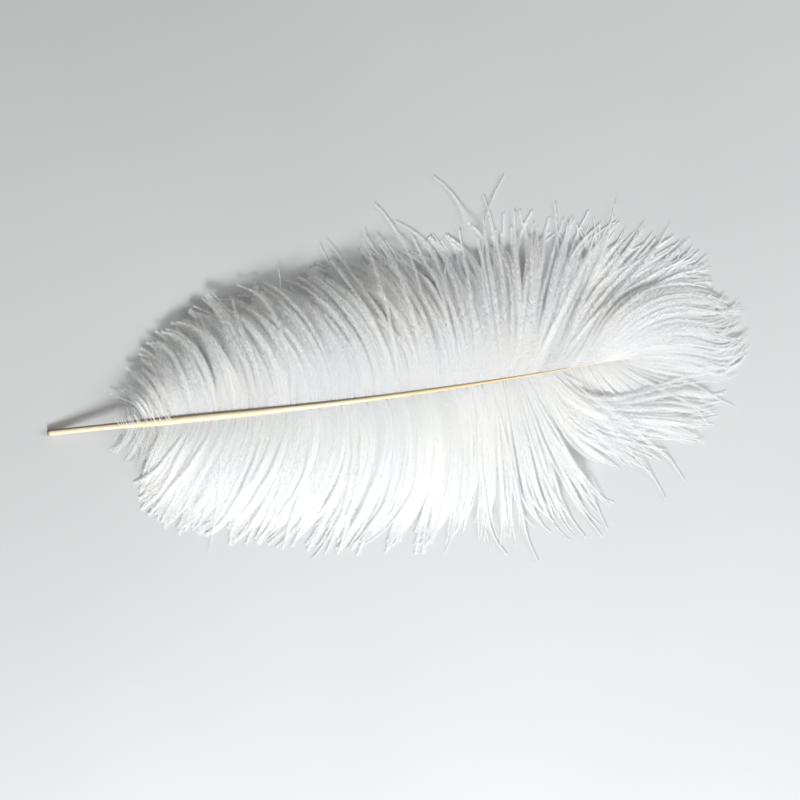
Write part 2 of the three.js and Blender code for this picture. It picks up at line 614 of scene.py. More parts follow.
    def _fill(self) -> None:
        """Adds the nodes: barbs to tubes, barbules along them, the map and the material."""
        tree = self.tree
        curve = tree.add("GeometryNodeMeshToCurve", {}, {"Mesh": self._input("Geometry")})
        round_sizes = {"Resolution": self._input("Shaft Sides"), "Radius": 1.0}
        tube = tree.add("GeometryNodeCurveToMesh", {}, {
            "Curve": curve,
            "Profile Curve": tree.add("GeometryNodeCurvePrimitiveCircle", {}, round_sizes),
            "Scale": self._attribute("thick"),
            "Fill Caps": True,
        })
        spaced = {"Curve": curve, "Length": self._input("Barbule Spacing")}
        points = tree.add("GeometryNodeCurveToPoints", {"mode": "LENGTH"}, spaced)
        barbule = self._barbule()
        barbules = self._realized(*(self._row(points, barbule, side) for side in Side))
        whole = self._realized(tube, barbules)
        # The map has a strip for each barb, and a barbule's root takes the length of one gap along it.
        along = self._attribute("along") + self._attribute("edge") * self._attribute("step")
        across = self._attribute("out") * self._attribute("side") * self.MAP_REACH + 0.5
        spot = tree.join(along, (self._attribute("row") + across) * self._attribute("pitch"))
        whole = self._store(whole, "OFBake", spot, data_type="FLOAT2", domain="CORNER")
        dressed = {"Geometry": whole, "Material": self._input("Material")}
        tree.add("NodeGroupOutput", {}, {0: tree.add("GeometryNodeSetMaterial", {}, dressed)})

    def grow(self, piece: bpy.types.Object, sizes: dict) -> bpy.types.Object:
        """Runs the tree on an object of barb lines and keeps the result as a plain mesh.

        Args:
            piece: the barb lines, which are used up.
            sizes: the inputs that FIXED leaves open, but for the geometry.

        Returns:
            The new piece.
        """
        modifier = piece.modifiers.new("barbules", "NODES")
        modifier.node_group = self.group
        for name, size in {**self.FIXED, **sizes}.items():
            modifier[self.inputs[name].identifier] = size
        graph = bpy.context.evaluated_depsgraph_get()
        mesh = bpy.data.meshes.new_from_object(
            piece.evaluated_get(graph), preserve_all_data_layers=True, depsgraph=graph
        )
        name = piece.name
        piece.modifiers.remove(modifier)
        bpy.data.objects.remove(piece)
        mesh.name = name
        return placed(name, mesh)


class Barbs:
    """The lines of a vane's barbs, worked out in millimetres and degrees.

    Each step draws its own chances, so the steps keep their order. The ends of an ease along a barb are
    shares of its length.
    """

    ROOT_JITTER = 0.3  # of a root along the shaft, as a share of the gap to the next
    SIZE_SPREAD = 0.5  # of the number of barbs in a lock, as a share
    LEAST_LOCK = 2  # barbs
    OWN_START = 0.1  # share of a barb's turn that it has at its root
    OWN_MIDDLE = 0.7  # share of it that it has halfway
    STRAY_MIDDLE = 0.6  # the same for a stray, or a barb beneath the locks
    STRAY_REACH = (0.9, 1.05)  # length of a stray, as a share of the guide's
    STRAY_LIFT = 2.0  # how far it lies over the others
    SINK = 0.5  # how far the barbs beneath the locks lie under them, at least
    SINK_SHARE = 0.3  # how much more, as a share of what would lift them
    STEPS = 4  # steps that a barb is followed in from one of its points to the next
    LONG_WAVES = (0.8, 1.6)  # waves along a barb
    SMALL_WAVES = (2, 4.5)
    TURN = 6.28  # radians, of a whole wave
    PHASES = (0, 6.3)  # radians
    FLICK = (0.5, 1.5)  # least and most of a lock's flick, as a share
    TIE_SPREAD = 0.25  # how unevenly the locks close up, as a share
    TIES = (0.2, 1.2)  # least and most that a lock closes up, as a share
    LEAST_WEIGHT = 1e-6  # of a barb that doesn't count for its lock's middle line
    UNDER_ROUND = 0.35  # how round and full a barb beneath the locks is, up to 1
    RARITY = 1.6  # above 1, few locks are short
    ROUNDING = 0.03  # how much shorter the outer barbs of a lock are, as a share
    PUFF_END = 0.9  # where along a barb its puff ends
    PUFF_POWER = 1.2  # above 1, it comes and goes more gently
    ROOT_OUT = 0.85  # where a barb leaves the shaft's oval, as a share of half its width
    ROOT_UP = 0.25  # and of half its height
    TINT = (0.16, 0.22)  # spread of the barbs' tint, and of their locks'
    ROLL = (0.1, 0.08)  # spread of the turn about a barb's length, and of its lock's

    def __init__(self, vane: "Vane", shaft: ShaftLine, dice: np.random.Generator) -> None:
        """Works out every barb's line, and its fluff, bare share, length, tint, roll and fullness.

        Args:
            vane: the vane that they make up.
            shaft: the shaft that they grow on.
            dice: the source of chance.
        """
        self.vane, self.loose, self.dice, self.count = vane, vane.loose, dice, vane.count
        self._follow_guides()
        self._make_locks()
        self._scatter()
        t = np.linspace(0, 1, vane.points + 1)
        self.lines = np.stack([*self._over_table(), np.zeros((self.count, len(t)))], axis=2)
        self._hang(shaft, t)
        self._gather(t)
        self.tint = np.clip(0.5 + self._chance(*self.TINT), 0, 1)
        self.roll = self._chance(*self.ROLL)
        self.fullness = np.where(self.under, self.UNDER_ROUND, 1.0)

    def _chance(self, of_one: float, of_lock: float = 0.0) -> np.ndarray:
        """Returns a normal deviation for each barb, part its own and part its lock's."""
        own = self.dice.normal(0, 1, self.count) * of_one
        return own + self.dice.normal(0, 1, self.locks)[self.lock] * of_lock

    def _follow_guides(self) -> None:
        """Sets each barb's root, and reads its numbers between the guides on either side of it."""
        guides = sorted((Guide(*row) for row in self.vane.guides), key=lambda guide: guide.root)
        places = np.array([guide.root for guide in guides])
        rows = np.array([guide.row() for guide in guides])
        jitter = self.dice.normal(0, self.ROOT_JITTER, self.count) * ((places[-1] - places[0]) / self.count)
        self.roots = places
        if not self.vane.by_hand:
            self.roots = np.linspace(places[0], places[-1], self.count) + jitter
            rows = smooth_through(self.roots, places, rows)
        self.start, self.middle, self.end, self.length, self.tip, self.puff, self.fluff, self.bare = rows.T

    def _make_locks(self) -> None:
        """Shares the barbs out among locks, which are neighbours that keep together."""
        number = np.arange(self.count)
        most = self.loose.barbs_in_lock
        sizes = np.clip(self.dice.normal(most, most * self.SIZE_SPREAD, self.count), self.LEAST_LOCK, None)
        self.lock = np.searchsorted(np.cumsum(sizes.round()), number, side="right")
        self.locks = self.lock.max() + 1
        members = np.bincount(self.lock, minlength=self.locks)
        centre = np.bincount(self.lock, weights=number, minlength=self.locks) / members
        self.off_centre = (number - centre[self.lock]) / np.maximum(members[self.lock] / 2, 1)

    def _scatter(self) -> None:
        """Turns, shortens and lifts the barbs, of which some lie beneath the locks and some astray."""
        loose, dice, count = self.loose, self.dice, self.count
        turn = self._chance(loose.heading, loose.lock_heading)
        kind = dice.random(count)
        self.stray, self.under = kind < loose.strays, kind > 1 - loose.under
        astray = np.where(self.stray, dice.normal(0, loose.stray_heading, count), 0)
        astray = np.where(self.under, dice.normal(0, loose.under_heading, count), astray)
        self.start = self.start + turn * self.OWN_START
        self.middle = self.middle + turn * self.OWN_MIDDLE + astray * self.STRAY_MIDDLE
        self.end = self.end + turn + astray
        reach = (1 - loose.short_locks * dice.random(self.locks) ** self.RARITY)[self.lock]
        above = loose.stacking * (1 - reach)
        shorter = np.abs(self._chance(loose.length))
        reach = loose.longest * reach - shorter - self.ROUNDING * self.off_centre**2
        reach = np.where(self.under, dice.uniform(*loose.under_reach, count), reach)
        self.reach = np.where(self.stray, dice.uniform(*self.STRAY_REACH, count), reach)
        self.length = self.length * self.reach
        self.fluff = self.fluff * np.where(self.under, loose.under_fluff, 1.0)
        lift = self._chance(loose.height, loose.lock_height) + above
        sunk = np.where(self.under, -np.abs(lift) * self.SINK_SHARE - self.SINK, lift)
        self.lift = np.where(self.stray, np.abs(lift) + self.STRAY_LIFT, sunk)

    def _waves(
        self, t: np.ndarray, number: int, limits: tuple[float, float], share: object
    ) -> np.ndarray:
        """Returns sines along the barbs, with lengths and starts by chance.

        Args:
            t: the places along a barb.
            number: how many lengths and starts are drawn.
            limits: the fewest and the most waves along a barb.
            share: which of them each barb takes.

        Returns:
            The sines, as barbs by places.
        """
        waves = self.dice.uniform(*limits, number)[share]
        phase = self.dice.uniform(*self.PHASES, number)[share]
        return np.sin(self.TURN * waves[:, None] * t + phase[:, None])

    def _headings(self, t: np.ndarray) -> np.ndarray:
        """Bends each barb smoothly through its three headings, with slight waves and curled tips.

        Args:
            t: the places along a barb.

        Returns:
            The headings, as barbs by places.
        """
        loose, lock = self.loose, self.lock
        start, end = self.start[:, None], self.end[:, None]
        out = self.reach[:, None] * t
        pull = (2 * self.middle - (self.start + self.end) / 2)[:, None]
        heading = start * (1 - out) ** 2 + 2 * pull * out * (1 - out) + end * out**2
        heading += self._chance(loose.curl * 0.5, loose.curl)[:, None] * ease(t, 0.55, 1.1)
        heading += loose.curl_back * ease(t, 0.6, 1.0)
        flick = self.dice.uniform(*self.FLICK, self.locks)[lock][:, None]
        heading += loose.flick * flick * ease(t, 0.72, 1.0)
        heading += loose.wave * self._waves(t, self.locks, self.LONG_WAVES, lock) * t
        small = self._waves(t, self.count, self.SMALL_WAVES, slice(None))
        return heading + loose.frizz * small * (0.3 + t)

    def _over_table(self) -> list[np.ndarray]:
        """Follows each barb's heading over the table, from its root.

        Returns:
            X and Y, each as barbs by points.
        """
        steps = self.vane.points * self.STEPS
        t = (np.arange(steps) + 0.5) / steps
        way = np.radians(self._headings(t)) * self.vane.side.value
        step = (self.length / steps)[:, None]
        root = np.zeros(self.count)
        return [
            np.column_stack([root, np.cumsum(part * step, axis=1)[:, self.STEPS - 1 :: self.STEPS]])
            for part in (np.cos(way), np.sin(way))
        ]

    def _hang(self, shaft: ShaftLine, t: np.ndarray) -> None:
        """Moves the lines to the shaft and lets them droop to the table, as one surface.

        Args:
            shaft: the shaft that they grow on.
            t: the places of the points along a barb.
        """
        vane, tip = self.vane, self.tip[:, None]
        middles, halves = shaft.at(np.clip(self.roots * MM, 0, shaft.length))
        beyond = np.clip(self.roots * MM - shaft.length, 0, None)
        root_z = middles[:, 2] / MM + self.ROOT_UP * halves[:, 1] / MM
        out = self.reach[:, None] * t
        fall = 1 - np.clip(out / vane.landing, 0, 1) ** vane.droop_power
        z = tip + (root_z[:, None] - tip) * fall
        puffed = np.sin(np.pi * np.minimum(out / self.PUFF_END, 1)) ** self.PUFF_POWER
        z += self.puff[:, None] * puffed
        z += self.lift[:, None] * ease(t, 0.05, 0.6) * (1 - vane.settle * ease(t, 0.6, 1.0))
        self.lines[..., 0] += (middles[:, 0] + beyond)[:, None] / MM
        root_y = middles[:, 1] + vane.side.value * halves[:, 0] * self.ROOT_OUT
        self.lines[..., 1] += root_y[:, None] / MM
        self.lines[..., 2] = z

    def _gather(self, t: np.ndarray) -> None:
        """Closes the barbs of a lock up towards its middle, and keeps them off the table."""
        lock, loners = self.lock, self.stray | self.under
        tied = np.clip(1 + self.dice.normal(0, self.TIE_SPREAD, self.locks), *self.TIES)[lock]
        tied = np.where(loners, 0, self.loose.gather * tied)[:, None]
        tied = tied * ease(t, self.loose.gather_from, 1.05)
        weight = np.where(loners, self.LEAST_WEIGHT, 1.0)
        middle_lines = np.zeros((self.locks, *self.lines.shape[1:]))
        np.add.at(middle_lines, lock, weight[:, None, None] * self.lines)
        middle_lines /= np.bincount(lock, weights=weight, minlength=self.locks)[:, None, None]
        self.lines += (middle_lines[lock] - self.lines) * tied[..., None]
        self.lines[..., 2] = np.maximum(self.lines[..., 2], self.vane.least_height)


@dataclass
class Vane:
    """A stretch of barbs on one side of the shaft."""

    name: str
    node: str
    side: Side
    count: int
    guides: tuple[tuple[float, ...], ...]  # each the numbers of a Guide
    loose: Loose
    slot: str = "barb_white"
    points: int = 16
    landing: float = 0.85  # share of a barb's length where its droop ends
    droop_power: float = 1.35  # 1 is a straight slope, and more is a rounder shoulder
    root_width: float = 0.36  # mm across a barb at its root
    tip_width: float = 0.10  # mm at its tip
    least_height: float = 0.9  # mm, the lowest that a barb lies
    tip_fluff: float = 0.6  # share of the barbules' length that is left at the tip
    root_fluff: float = 0.72  # share of it that is grown at the root
    taper: float = 0.78  # share of it that is gone at the very end
    spacing: float = 0.24  # mm between barbules
    barbule_width: float = 0.3  # mm
    spread: float = 60.0  # degrees that barbules sag or rise where a barb is round and full
    settle: float = 0.65  # share of a lock's extra height that is gone at its tip
    dull_root: float = 0.0  # how much painted shade the barbs have at their roots, up to 1
    dull_tip: float = 0.0  # and at their tips
    by_hand: bool = False  # whether each guide is a barb itself, and there are no others

    def _numbers(self, barbs: Barbs) -> dict[str, np.ndarray]:
        """Works out what the tree reads from each point of the barbs.

        Args:
            barbs: the barbs.

        Returns:
            The numbers by name, each as barbs by points or ready to be spread out to that.
        """
        t = np.linspace(0, 1, self.points + 1)
        bare = barbs.bare[:, None]
        grown = self.tip_fluff + (1 - self.tip_fluff) * (1 - ease(t, 0.45, 1.0))
        rooted = self.root_fluff + (1 - self.root_fluff) * ease(t - bare, 0, 0.02 + bare * 0.8)
        grown = grown * (1 - ease(t, 0.8, 1.02) * self.taper) * rooted
        return {
            "fluff": barbs.fluff[:, None] * MM * grown,
            "thick": (self.root_width + (self.tip_width - self.root_width) * t**0.7) * MM / 2,
            "tint": barbs.tint[:, None],
            "round": barbs.fullness[:, None] * ease(t, 0.12, 0.55),
            # painted shade along each barb: some at the root, fading out by three quarters of its length,
            # and some at the tip
            "dull": self.dull_root * (1 - ease(t, 0.0, 0.75)) + self.dull_tip * ease(t, 0.5, 0.95),
            "along": t * 0.99 + 0.005,
            "step": (self.spacing * MM / (barbs.length * MM))[:, None],
            "row": np.arange(self.count)[:, None],
            "pitch": np.full((1, 1), 1 / self.count),
        }

    def _lines_object(self, barbs: Barbs) -> bpy.types.Object:
        """Makes an object of bare barb lines with what the tree reads from them.

        Args:
            barbs: the barbs.

        Returns:
            The object.
        """
        lines = barbs.lines * MM
        shape = lines.shape[:2]
        mesh = bpy.data.meshes.new(self.name)
        index = np.arange(lines[..., 0].size).reshape(shape)
        edges = np.stack([index[:, :-1], index[:, 1:]], axis=2).reshape(-1, 2)
        mesh.vertices.add(index.size)
        mesh.vertices.foreach_set("co", lines.ravel())
        mesh.edges.add(len(edges))
        mesh.edges.foreach_set("vertices", edges.ravel())
        tangent = np.gradient(lines, axis=1)
        tangent /= np.linalg.norm(tangent, axis=2, keepdims=True)
        sideways = np.cross((0, 0, 1), tangent)
        sideways /= np.maximum(np.linalg.norm(sideways, axis=2, keepdims=True), 1e-9)
        up = np.cross(tangent, sideways) + sideways * barbs.roll[:, None, None]
        up /= np.linalg.norm(up, axis=2, keepdims=True)
        for key, array in self._numbers(barbs).items():
            spread_out = np.broadcast_to(array, shape).ravel().astype(np.float32)
            mesh.attributes.new(key, "FLOAT", "POINT").data.foreach_set("value", spread_out)
        mesh.attributes.new("up", "FLOAT_VECTOR", "POINT").data.foreach_set("vector", up.ravel())
        mesh.update()
        return placed(self.name, mesh)

    def build(
        self, shaft: ShaftLine, tree: BarbTree, material: bpy.types.Material, seed: int
    ) -> bpy.types.Object:
        """Grows the vane's barbs as one piece in place of its CAD node.

        Args:
            shaft: the shaft that they grow on.
            tree: the tree that grows the barbules.
            material: the finish of the barbs.
            seed: where this vane's chance starts.

        Returns:
            The piece.
        """
        barbs = Barbs(self, shaft, np.random.default_rng(seed))
        piece = tree.grow(self._lines_object(barbs), {
            "Seed": seed,
            "Barbule Spacing": self.spacing * MM,
            "Barbule Width": self.barbule_width * MM,
            "Spread": math.radians(self.spread),
            "Material": material,
        })
        lay_down(piece.data)
        drop_attributes(piece.data)
        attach(piece, BODY)
        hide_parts(self.node)
        LOG.info("%s: %d barbs, %d triangles", self.name, self.count, triangles(piece.data))
        return piece


def placed(name: str, data: bpy.types.ID) -> bpy.types.Object:
    """Returns a new object of some data, linked to the scene."""
    made = bpy.data.objects.new(name, data)
    bpy.context.scene.collection.objects.link(made)
    return made


def lay_down(mesh: bpy.types.Mesh, lowest: float = 0.1 * MM) -> None:
    """Lifts what would pass through the table to its surface."""
    places = np.empty(len(mesh.vertices) * 3, np.float32)
    mesh.vertices.foreach_get("co", places)
    heights = places[2::3]
    np.maximum(heights, lowest, out=heights)
    mesh.vertices.foreach_set("co", places)
    mesh.update()


def drop_attributes(mesh: bpy.types.Mesh) -> None:
    """Removes the attributes that only the growing needed."""
    for name in ("fluff", "thick", "along", "step", "row", "pitch", "up", "out", "edge", "side", "round"):
        if name in mesh.attributes:
            mesh.attributes.remove(mesh.attributes[name])


def triangles(mesh: bpy.types.Mesh) -> int:
    """Counts a mesh's triangles."""
    return sum(len(face.vertices) - 2 for face in mesh.polygons)


# ---- Shaft ----


@dataclass
class Shaft:
    """The quill and the rachis: an oval rod, hollow at its cut end and grooved beneath its vanes."""

    node: str = "shaft"
    rings: int = 150
    crowding: float = 1.15  # above 1, the rings stand closer at the quill
    sides: int = 28
    wall: float = 0.55 * MM
    hollow: float = 16 * MM
    inner_rings: int = 8
    hollow_end: float = 0.25  # how wide the hollow still is at its end, as a share, before its square root
    groove_from: float = 82 * MM
    groove_to: float = 300 * MM
    groove_rise: float = 30 * MM  # over which the groove deepens
    groove_fall: float = 60 * MM  # over which it ends
    groove: float = 0.22  # share of the half height
    groove_width: float = 24  # degrees round the rod

    def _ring(self, middle: np.ndarray, half: np.ndarray, groove: float) -> np.ndarray:
        """Makes one ring of the rod.

        Args:
            middle: its middle point.
            half: half its width and height.
            groove: how deep its underside is pressed in, as a share of the half height.

        Returns:
            Its points.
        """
        turn = 2 * np.pi * np.arange(self.sides) / self.sides
        y = half[0] * np.cos(turn)
        z = half[1] * np.sin(turn)
        z += half[1] * groove * np.exp(-((np.degrees(turn) - 270) / self.groove_width) ** 2)
        return np.column_stack([np.full(self.sides, middle[0]), middle[1] + y, middle[2] + z])

    def _rings(self, shaft: ShaftLine) -> np.ndarray:
        """Lists the rings from the hollow's end, out over the cut and along to the fine end.

        Args:
            shaft: the line that they follow.

        Returns:
            The rings by sides by 3.
        """
        along = shaft.length * np.linspace(0, 1, self.rings) ** self.crowding
        middles, halves = shaft.at(along)
        grooves = self.groove * ease(along, self.groove_from, self.groove_from + self.groove_rise)
        grooves = grooves * (1 - ease(along, self.groove_to - self.groove_fall, self.groove_to))
        outer = [self._ring(*row) for row in zip(middles, halves, grooves)]
        middles, halves = shaft.at(np.linspace(self.hollow, 0, self.inner_rings))
        widths = np.linspace(self.hollow_end, 1, self.inner_rings)[:, None] ** 0.5
        inner = [self._ring(m, (h - self.wall) * k, 0) for m, h, k in zip(middles, halves, widths)]
        return np.array(inner + outer)

    def build(self, shaft: ShaftLine, material: bpy.types.Material) -> bpy.types.Object:
        """Builds the shaft as one closed mesh in place of its CAD node.

        Args:
            shaft: the line that it follows.
            material: its finish.

        Returns:
            The piece.
        """
        rows = self._rings(shaft)
        mesh = bpy.data.meshes.new(self.node + "_keratin")
        index = np.arange(len(rows) * self.sides).reshape(len(rows), self.sides)
        after = np.roll(index, -1, axis=1)
        quads = np.stack([index[:-1], after[:-1], after[1:], index[1:]], axis=2).reshape(-1, 4)
        ends = [index[0][::-1].tolist(), index[-1].tolist()]
        mesh.from_pydata(rows.reshape(-1, 3).tolist(), [], quads[:, ::-1].tolist() + ends)
        mesh.validate()
        for face in mesh.polygons:
            face.use_smooth = True
        mesh.materials.append(material)
        piece = placed(mesh.name, mesh)
        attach(piece, BODY)
        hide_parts(self.node)
        LOG.info("%s: %d triangles", piece.name, triangles(mesh))
        return piece


# ---- Studio ----


@dataclass(frozen=True)
class Lamp:
    """A round soft light that faces the middle of the plume."""

    name: str
    distance: float  # from the origin
    size: float  # across
    height: float  # degrees over the table
    bearing: float  # degrees from +X
    watts: float
    tint: tuple = (0.985, 0.995, 1.0)

    def hang(self) -> None:
        """Adds the light to the scene."""
        data = bpy.data.lights.new(self.name, "AREA")
        data.shape, data.size, data.energy, data.color = "DISK", self.size, self.watts, self.tint
        lamp = placed(self.name, data)
        height, bearing = math.radians(self.height), math.radians(self.bearing)
        flat = self.distance * math.cos(height)
        place = (flat * math.cos(bearing), flat * math.sin(bearing), self.distance * math.sin(height))
        lamp.location = place
        lamp.rotation_euler = (-Vector(place)).to_track_quat("-Z", "Y").to_euler()


@dataclass
class Studio:
    """A pale table, a soft low light from the plume's right side, and a camera straight above."""

    frame_px: float = 800
    quill_end_px: tuple[float, float] = (48, 433)
    pixel: float = 0.715 * MM  # on the table
    turn: float = math.radians(7.35)  # of the shaft in the view, anticlockwise
    lens_mm: float = 100
    sensor_mm: float = 36
    clip_end: float = 20
    table: float = 6.0
    lamps: tuple[Lamp, ...] = (
        Lamp("key", 1.4, 0.45, 37, -102, 19.4),
        Lamp("fill", 1.6, 0.9, 36, -14, 12.0),
    )
    sky: float = 0.285
    sky_tint: tuple = colour(1.0, 0.985, 0.95)
    bounces: int = 24
    diffuse_bounces: int = 16

    def camera(self, shaft: ShaftLine) -> None:
        """Sets the camera so that the quill's end falls on its place in the view.

        Args:
            shaft: the shaft's line.
        """
        data = bpy.data.cameras.new("camera")
        data.lens, data.sensor_width, data.clip_end = self.lens_mm, self.sensor_mm, self.clip_end
        camera = placed("camera", data)
        end = shaft.at(np.zeros(1))[0][0]
        half = self.frame_px / 2
        right = (half - self.quill_end_px[0]) * self.pixel
        above = (self.quill_end_px[1] - half) * self.pixel
        c, s = math.cos(self.turn), math.sin(self.turn)
        distance = self.frame_px * self.pixel * self.lens_mm / self.sensor_mm
        camera.location = (end[0] + right * c + above * s, end[1] - right * s + above * c, distance)
        camera.rotation_euler = (0, 0, -self.turn)
        bpy.context.scene.camera = camera

    def floor(self) -> None:
        """Lays the table under the plume."""
        half = self.table / 2
        corners = [(-half, -half, 0), (half, -half, 0), (half, half, 0), (-half, half, 0)]
        mesh = bpy.data.meshes.new("table")
        mesh.from_pydata(corners, [], [(0, 1, 2, 3)])
        mesh.materials.append(TableFinish().make())
        placed("table", mesh)

    def lights(self) -> None:
        """Hangs the lights and sets the even light around them."""
        for lamp in self.lamps:
            lamp.hang()
        scene = bpy.context.scene
        world = bpy.data.worlds.new("sky")
        world.use_nodes = True
        sky = world.node_tree.nodes["Background"]
        sky.inputs["Color"].default_value = self.sky_tint
        sky.inputs["Strength"].default_value = self.sky
        scene.world = world
        scene.view_settings.view_transform = "Standard"
        scene.cycles.max_bounces = scene.cycles.transmission_bounces = self.bounces
        scene.cycles.diffuse_bounces = self.diffuse_bounces


# ---- The plume ----

HIGH = Loose(
    heading=2.6, lock_heading=3.6, curl=20, curl_back=10, wave=4, frizz=3.0, longest=1.08,
    short_locks=0.2, stacking=8, height=0.9, lock_height=1.5, gather=0.55, gather_from=0.4,
    under=0.42, under_reach=(0.84, 1.08), under_heading=5, strays=0.06,
)
UPRIGHT = Loose(
    heading=2.8, lock_heading=3.4, curl=26, frizz=2.8, wave=4, longest=1.08, short_locks=0.22,
    stacking=3, height=0.8, gather=0.5, gather_from=0.4, barbs_in_lock=4, under_heading=6,
    under_reach=(0.84, 1.06), under_fluff=1.5, strays=0.08,
)
TANGLED = Loose(
    heading=3.0, lock_heading=4.0, curl=20, curl_back=0, wave=4, frizz=3.2, lock_height=0.6,
    stacking=1.6, short_locks=0.2, gather=0.4, gather_from=0.35, barbs_in_lock=5, under=0.5,
    under_heading=7, under_reach=(0.84, 1.03), under_fluff=1.4, strays=0.05, stray_heading=12,
    longest=1.05,
)
SILKY = Loose(
    heading=1.6, lock_heading=1.2, curl=9, curl_back=0, flick=6, frizz=2.4, longest=1.03,
    length=0.02, short_locks=0.12, height=0.35, lock_height=0.5, stacking=1.5, gather=0.35,
    gather_from=0.55, barbs_in_lock=4, under_heading=3, under_reach=(0.84, 1.0), stray_heading=8,
)
NOTCHED = Loose(
    heading=2.2, lock_heading=3, curl=16, curl_back=0, wave=3, frizz=2.8, longest=1.04,
    short_locks=0.22, height=0.5, stacking=3, gather=0.5, gather_from=0.4, barbs_in_lock=5,
    under_heading=5, under_reach=(0.8, 1.02), strays=0.04, stray_heading=10,
)
SWEPT = Loose(
    heading=2.0, lock_heading=3, curl=18, curl_back=-6, wave=3, short_locks=0.26, stacking=2,
    lock_height=0.5, gather=0.6, gather_from=0.5, under_reach=(0.75, 1.0), strays=0.05,
)
LOW = Loose(
    heading=1.4, lock_heading=0.7, curl=16, curl_back=0, frizz=2.6, longest=1.04,
    short_locks=0.16, stacking=0.5, height=0.2, lock_height=0.15, gather=0.35, gather_from=0.8,
    barbs_in_lock=5, under=0.46, under_reach=(0.88, 1.04), under_heading=3, strays=0.05,
    stray_heading=12,
)
SOFT = replace(
    LOW, heading=2.6, lock_heading=0.5, curl=14, frizz=4, length=0.06, short_locks=0.18,
    height=0.15, lock_height=0.1, gather=0.1, barbs_in_lock=4, under=0.5, under_heading=5,
    strays=0.06, stray_heading=14,
)
SPARSE = Loose(
    heading=7, lock_heading=4, frizz=6, wave=6, length=0.12, short_locks=0.3, stacking=0,
    gather=0, barbs_in_lock=2, under=0, strays=0.12, height=0.6, lock_height=0.2,
)
STILL = Loose(
    heading=0, lock_heading=0, curl=0, curl_back=0, wave=4, frizz=3, longest=1, length=0,
    short_locks=0, height=0, lock_height=0, stacking=0, gather=0, barbs_in_lock=1, under=0,
    strays=0,
)
DOWNY = Loose(
    heading=14, lock_heading=8, curl=60, frizz=9, wave=12, longest=1.1, length=0.25,
    short_locks=0.5, height=2.5, lock_height=1.5, stacking=0, gather=0, barbs_in_lock=1, under=0,
    strays=0.15, stray_heading=40,
)
FINE = {"slot": "down_white", "root_width": 0.16, "tip_width": 0.07, "spacing": 0.35, "barbule_width": 0.12}
